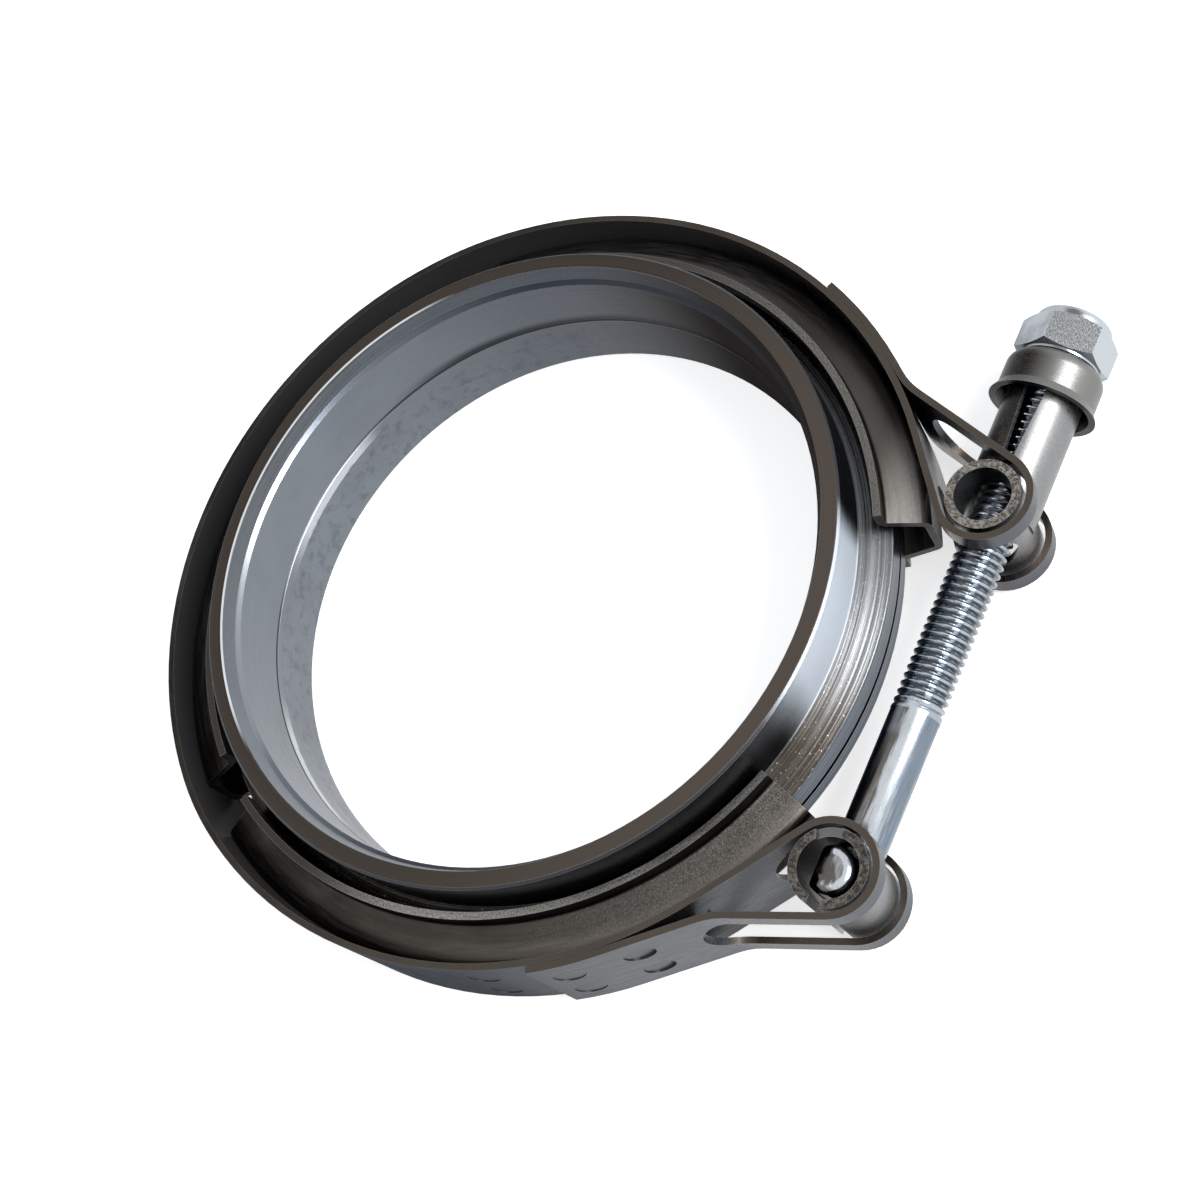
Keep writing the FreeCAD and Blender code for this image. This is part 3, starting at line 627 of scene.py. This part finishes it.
def add_shank(mesh):
    """Root cone, plain shank and the thread's helix."""
    rows = [(ROOT_FOOT, ROOT_RADIUS), (ROOT_TOP, SHANK_RADIUS),
            (THREAD_START - SHANK_END_GAP, SHANK_RADIUS)]
    rings = [add_ring(mesh, circle(along, [radius] * AROUND)) for along, radius in rows]
    for along in threaded_rows():
        radii = [thread_radius(along, k / AROUND) for k in range(AROUND)]
        rings.append(add_ring(mesh, circle(along, radii)))
    skin(mesh, rings)
    mesh.faces.new(rings[-1])


def add_bar(mesh):
    """Cross bar with domed ends, one flat and a facet struck on each end."""
    rows = []
    for k in range(DOME_STEPS + 1):
        turn = math.pi / 2 * k / DOME_STEPS
        rows.append((BAR_HALF - BAR_DOME + BAR_DOME * math.cos(turn),
                     BAR_RADIUS - BAR_DOME + BAR_DOME * math.sin(turn)))
    rows += [(-z, r) for z, r in reversed(rows)]
    rings = []
    for z, r in rows:
        points = []
        for k in range(AROUND):
            angle = 2 * math.pi * k / AROUND
            y = min(r * math.sin(angle), BAR_RADIUS - BAR_FLAT)
            facet = BAR_HALF - max(0.0, y - BAR_FACET)
            points.append((r * math.cos(angle), y, max(-facet, min(facet, z))))
        rings.append(add_ring(mesh, points))
    skin(mesh, rings)
    mesh.faces.new(rings[0])
    mesh.faces.new(rings[-1])


def make_bolt(material):
    """Replace the plain CAD bolt with one that has its thread cut."""
    mesh = bmesh.new()
    add_shank(mesh)
    add_bar(mesh)
    bmesh.ops.recalc_face_normals(mesh, faces=mesh.faces)
    data = bpy.data.meshes.new("threaded_bolt")
    mesh.to_mesh(data)
    mesh.free()
    data.transform(bolt_place())
    data.materials.append(material)
    data.shade_smooth()
    data.set_sharp_from_angle(angle=math.radians(SMOOTH_TURN))
    bolt = bpy.data.objects.new("threaded_bolt", data)
    bpy.context.scene.collection.objects.link(bolt)
    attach(bolt, "clamp")
    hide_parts("t_bolt")


# Floor, light and camera

def larger(tree, first, second):
    node = tree.nodes.new("ShaderNodeMath")
    node.operation = "MAXIMUM"
    tree.links.new(first, node.inputs[0])
    tree.links.new(second, node.inputs[1])
    return node.outputs[0]


def either(tree, factor, first, second):
    node = tree.nodes.new("ShaderNodeMixShader")
    tree.links.new(factor, node.inputs[0])
    tree.links.new(first, node.inputs[1])
    tree.links.new(second, node.inputs[2])
    return node.outputs[0]


def make_world():
    """Even soft light, with a white background where it is seen."""
    world = bpy.data.worlds.new("studio")
    world.use_nodes = True
    tree = world.node_tree
    light = tree.nodes["Background"]
    light.inputs["Color"].default_value = WORLD_TINT
    light.inputs["Strength"].default_value = WORLD_STRENGTH
    seen = tree.nodes.new("ShaderNodeBackground")
    seen.inputs["Color"].default_value = WHITE
    seen.inputs["Strength"].default_value = 1.0
    ray = tree.nodes.new("ShaderNodeLightPath").outputs
    mirrored = larger(tree, ray["Is Glossy Ray"], ray["Is Transmission Ray"])
    sight = larger(tree, ray["Is Camera Ray"], mirrored)
    out = either(tree, sight, light.outputs[0], seen.outputs[0])
    tree.links.new(out, tree.nodes["World Output"].inputs["Surface"])
    bpy.context.scene.world = world


def glow(tree, strength):
    node = tree.nodes.new("ShaderNodeEmission")
    node.inputs["Color"].default_value = WHITE
    node.inputs["Strength"].default_value = strength
    return node.outputs[0]


def make_floor():
    """A plain pale floor that stays white but keeps a faint shadow."""
    mesh = bmesh.new()
    bmesh.ops.create_grid(mesh, x_segments=4, y_segments=4, size=FLOOR_SIZE)
    data = bpy.data.meshes.new("floor")
    mesh.to_mesh(data)
    mesh.free()
    floor = bpy.data.objects.new("floor", data)
    floor.location = (0.0, 0.0, FLOOR_Z)
    bpy.context.scene.collection.objects.link(floor)
    material = bpy.data.materials.new("floor")
    material.use_nodes = True
    tree = material.node_tree
    shader = tree.nodes["Principled BSDF"]
    shader.inputs["Base Color"].default_value = FLOOR_GREY
    shader.inputs["Roughness"].default_value = 0.8
    shader.inputs["Specular IOR Level"].default_value = 0.0
    both = tree.nodes.new("ShaderNodeAddShader")
    tree.links.new(shader.outputs[0], both.inputs[0])
    tree.links.new(glow(tree, FLOOR_GLOW), both.inputs[1])
    ray = tree.nodes.new("ShaderNodeLightPath").outputs
    mirrored = larger(tree, ray["Is Glossy Ray"], ray["Is Transmission Ray"])
    out = either(tree, ray["Is Camera Ray"], shader.outputs[0], both.outputs[0])
    out = either(tree, mirrored, out, glow(tree, 1.0))
    tree.links.new(out, tree.nodes["Material Output"].inputs["Surface"])
    data.materials.append(material)


def area_light(name, at, size, power):
    """Square soft box aimed at the middle of the clamp."""
    lamp = bpy.data.lights.new(name, "AREA")
    lamp.shape = "SQUARE"
    lamp.size = size
    lamp.energy = power
    thing = bpy.data.objects.new(name, lamp)
    thing.location = at
    aim = Vector(CLAMP_MIDDLE) - Vector(at)
    thing.rotation_euler = aim.to_track_quat("-Z", "Y").to_euler()
    bpy.context.scene.collection.objects.link(thing)


def make_camera():
    data = bpy.data.cameras.new("camera")
    data.lens = CAMERA_LENS
    data.sensor_width = CAMERA_SENSOR
    data.clip_start = 0.01
    camera = bpy.data.objects.new("camera", data)
    camera.location = CAMERA_AT
    camera.rotation_euler = Euler([math.radians(a) for a in CAMERA_TURN], "XYZ")
    bpy.context.scene.collection.objects.link(camera)
    bpy.context.scene.camera = camera


def main():
    dress(flange_steel(), "near_flange", "far_flange")
    dress(strap_steel(), "band_strap")
    dress(retainer_steel(), "upper_retainer", "middle_retainer", "lower_retainer")
    zinc = bolt_zinc()
    dress(zinc, "t_bolt")
    dress(nut_zinc(), "lock_nut")
    # Sleeve, trunnion and cup each get a shaded and a lit colour, for painted shade and painted
    # light, then the colours of their torn cut ends.
    dress(satin_steel("sleeve_steel", (0.035, 0.032, 0.030), (0.34, 0.355, 0.375),
                      (0.040, 0.036, 0.032), (0.15, 0.138, 0.125), BAR_AT), "bar_sleeve")
    dress(satin_steel("trunnion_steel", (0.022, 0.019, 0.017), (0.34, 0.345, 0.35),
                      (0.070, 0.064, 0.058), (0.30, 0.285, 0.26)), "trunnion")
    dress(satin_steel("cup_steel", (0.018, 0.016, 0.015), (0.27, 0.268, 0.265),
                      (0.085, 0.078, 0.070), (0.30, 0.285, 0.26)), "cup_washer")
    dress(nylon(), "nylon_ring")
    make_bolt(zinc)
    make_world()
    make_floor()
    area_light("key", at=(0.42, 0.10, 0.38), size=0.30, power=3.2)
    area_light("fill", at=(-0.30, -0.35, 0.45), size=0.60, power=0.5)
    make_camera()
    bpy.context.scene.view_settings.view_transform = "Standard"


main()

bpy.context.view_layer.update()
